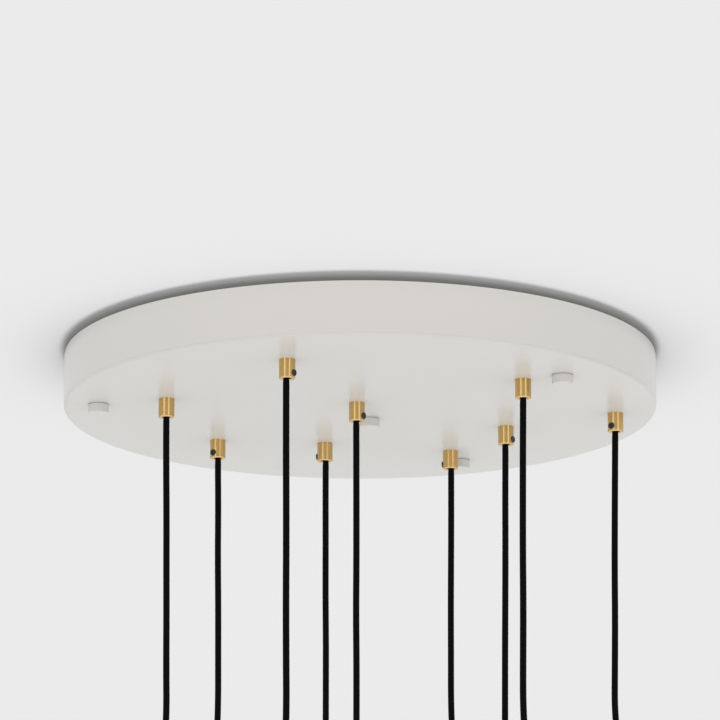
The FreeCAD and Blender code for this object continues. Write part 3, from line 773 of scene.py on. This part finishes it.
BACKDROP = 0.831  # linear; the pale grey of the ceiling and of what lies beyond it
DOME = 1.0
CEILING_TONE = 0.245  # the ceiling's own colour; a lamp that lights only the ceiling does the rest
CEILING_LIGHT = BACKDROP / CEILING_TONE - DOME
CEILING_HOLE = CANOPY_RADIUS - 3 * MM  # just inside the canopy's rim
CEILING_RINGS = (CEILING_HOLE, 1.0, 12.0)
CEILING_SIDES = 128
PANELS = 4.0  # soft panels round the horizon
PANEL_SWING = -0.15
GLOW_BELOW = 0.8  # how much brighter glossy surfaces see the room straight below
GLOW_START = -0.5  # height of the direction where that begins, and where it is full
GLOW_FULL = -0.9
PAINTED_CONTACT_SHADOW = 0.25  # how much darker the ceiling is painted right beside the canopy: a painted contact shadow
PAINTED_CONTACT_SHADOW_REACH = 28 * MM


def make_ceiling():
    """A pale ceiling, open over the canopy and see-through from above.

    It lights the rest as if it had no shadow on it. Its colour is painted darker right beside the
    canopy, a painted contact shadow.
    """
    points = []
    for radius in CEILING_RINGS:
        for k in range(CEILING_SIDES):
            angle = 2 * math.pi * k / CEILING_SIDES
            points.append((radius * math.cos(angle), radius * math.sin(angle), 0.0))
    faces = grid_faces(len(CEILING_RINGS), CEILING_SIDES)
    ceiling = new_object("ceiling", mesh_of("ceiling", points, faces))
    n = Nodes("ceiling_paint", Roughness=0.95, Specular_IOR_Level=0.0)
    length = n.add("ShaderNodeVectorMath", {0: n.place()}, operation="LENGTH").outputs["Value"]
    # painted shadow: the ceiling's colour darkens towards the canopy's rim
    from_rim = n.math("SUBTRACT", length, CANOPY_RADIUS)
    fade = n.math("EXPONENT", n.math("DIVIDE", from_rim, -PAINTED_CONTACT_SHADOW_REACH))
    unshadowed_share = n.math("SUBTRACT", 1.0, n.math("MULTIPLY", fade, PAINTED_CONTACT_SHADOW))
    n.set(Base_Color=n.math("MULTIPLY", unshadowed_share, CEILING_TONE))
    behind = n.add("ShaderNodeNewGeometry").outputs["Backfacing"]
    clear = n.add("ShaderNodeBsdfTransparent").outputs[0]
    glow = {"Color": (1, 1, 1, 1), "Strength": BACKDROP}
    plain = n.add("ShaderNodeEmission", glow).outputs[0]
    indirect = n.add("ShaderNodeLightPath").outputs["Is Diffuse Ray"]
    lit = n.shader.outputs[0]
    below = n.add("ShaderNodeMixShader", {0: indirect, 1: lit, 2: plain}).outputs[0]
    mixed = n.add("ShaderNodeMixShader", {0: behind, 1: below, 2: clear}).outputs[0]
    n.tree.links.new(mixed, n.tree.nodes["Material Output"].inputs["Surface"])
    ceiling.data.materials.append(n.material)
    return ceiling


def make_world():
    """An even studio: a tone for the camera, one for light, and soft panels in reflections."""
    world = bpy.data.worlds.new("world")
    bpy.context.scene.world = world
    world.use_nodes = True
    tree = world.node_tree

    def add(kind, inputs, **settings):
        return add_node(tree, kind, inputs, **settings).outputs

    path = add("ShaderNodeLightPath", {})

    def calculate(operation, *values):
        return add("ShaderNodeMath", dict(enumerate(values)), operation=operation)[0]

    def choose(ray, otherwise, value):
        inputs = {"Factor": path[ray], "A": otherwise, "B": value}
        return add("ShaderNodeMix", inputs, data_type="FLOAT")[0]

    direction = add("ShaderNodeTexCoord", {})["Generated"]
    parts = add("ShaderNodeSeparateXYZ", {0: direction})
    azimuth = calculate("ARCTAN2", parts["Y"], parts["X"])
    wave = calculate("SINE", calculate("MULTIPLY", azimuth, PANELS))
    panels = calculate("MULTIPLY_ADD", wave, PANEL_SWING, BACKDROP)
    below = {"From Min": GLOW_START, "From Max": GLOW_FULL, "To Max": GLOW_BELOW}
    low = add("ShaderNodeMapRange", {"Value": parts["Z"], **below})[0]
    room = calculate("ADD", panels, low)
    glossy = choose("Is Glossy Ray", DOME, room)
    seen = choose("Is Camera Ray", glossy, BACKDROP)
    background = tree.nodes["Background"]
    tree.links.new(seen, background.inputs["Strength"])
    background.inputs["Color"].default_value = (1, 1, 1, 1)


def group(name, objects, include=True):
    """A collection for light linking, of those objects or of all but those."""
    collection = bpy.data.collections.new(name)
    for k, obj in enumerate(objects):
        collection.objects.link(obj)
        linking = collection.collection_objects[k].light_linking
        linking.link_state = "INCLUDE" if include else "EXCLUDE"
    return collection


def link_lamp(lamp, lit, shading):
    """Limits what a lamp lights, and what shades it."""
    lamp.light_linking.receiver_collection = lit
    lamp.light_linking.blocker_collection = shading


def sun(name, travels, strength, width, colour=(1, 1, 1)):
    """A distant lamp whose light travels in that direction."""
    data = bpy.data.lights.new(name, "SUN")
    data.energy = strength
    data.angle = math.radians(width)
    data.color = colour
    obj = bpy.data.objects.new(name, data)
    obj.rotation_euler = Vector(travels).to_track_quat("-Z", "Y").to_euler()
    bpy.context.scene.collection.objects.link(obj)
    return obj


# each key lamp's tilt from straight up, its width and its share of the ceiling's light
KEYS = ((34.3, 8.0, 0.68), (21.0, 22.0, 0.32))
STRIP_TURN = 34.0
STRIP_RISE = 14.0  # degrees above the horizon, where a grip's side mirrors the camera's line
STRIP_WIDTH = 12.0
STRIP_STRENGTH = 0.12
FRONT_WIDTH = 60.0
FRONT_RISE = 8.0  # degrees upwards
FRONT_STRENGTH = 0.42
FRONT_COLOUR = (1.0, 0.88, 0.81)


def brass_pieces():
    """The grips, their clamp screws and the lampholders' shells."""
    pieces = [frame["nodes"]["cord_grips"]]
    for number in NUMBERS:
        pieces.append(bpy.data.objects[f"slotted_screw_{number}"])
        pieces.append(bpy.data.objects[f"holder_shell_{number}"])
    return pieces


def make_lamps(ceiling):
    """Two keys for the canopy's shadow, two narrow ones for the brass's bands, a soft front."""
    ceiling_alone = group("ceiling_alone", [ceiling])
    no_ceiling = group("no_ceiling", [ceiling], False)
    canopy_alone = group("canopy_alone", [frame["nodes"]["canopy_pan"]])
    brass = group("brass", brass_pieces())
    for k, (angle, width, share) in enumerate(KEYS):
        tilt = math.radians(angle)
        strength = share * CEILING_LIGHT * math.pi / math.cos(tilt)
        key = sun(f"key_{k}", (0, -math.sin(tilt), math.cos(tilt)), strength, width)
        link_lamp(key, ceiling_alone, canopy_alone)
    rise = math.radians(STRIP_RISE)
    for side in (-1, 1):
        turn = math.radians(STRIP_TURN) * side
        level = math.cos(rise)
        travels = (-math.sin(turn) * level, math.cos(turn) * level, -math.sin(rise))
        strip = sun(f"strip_{side}", travels, STRIP_STRENGTH, STRIP_WIDTH)
        link_lamp(strip, brass, brass)
    lift = math.radians(FRONT_RISE)
    travels = (0, math.cos(lift), math.sin(lift))
    front = sun("front", travels, FRONT_STRENGTH, FRONT_WIDTH, FRONT_COLOUR)
    front.visible_glossy = False
    link_lamp(front, no_ceiling, no_ceiling)


stage_ceiling = make_ceiling()
make_world()
make_lamps(stage_ceiling)
bpy.context.scene.view_settings.view_transform = "Standard"
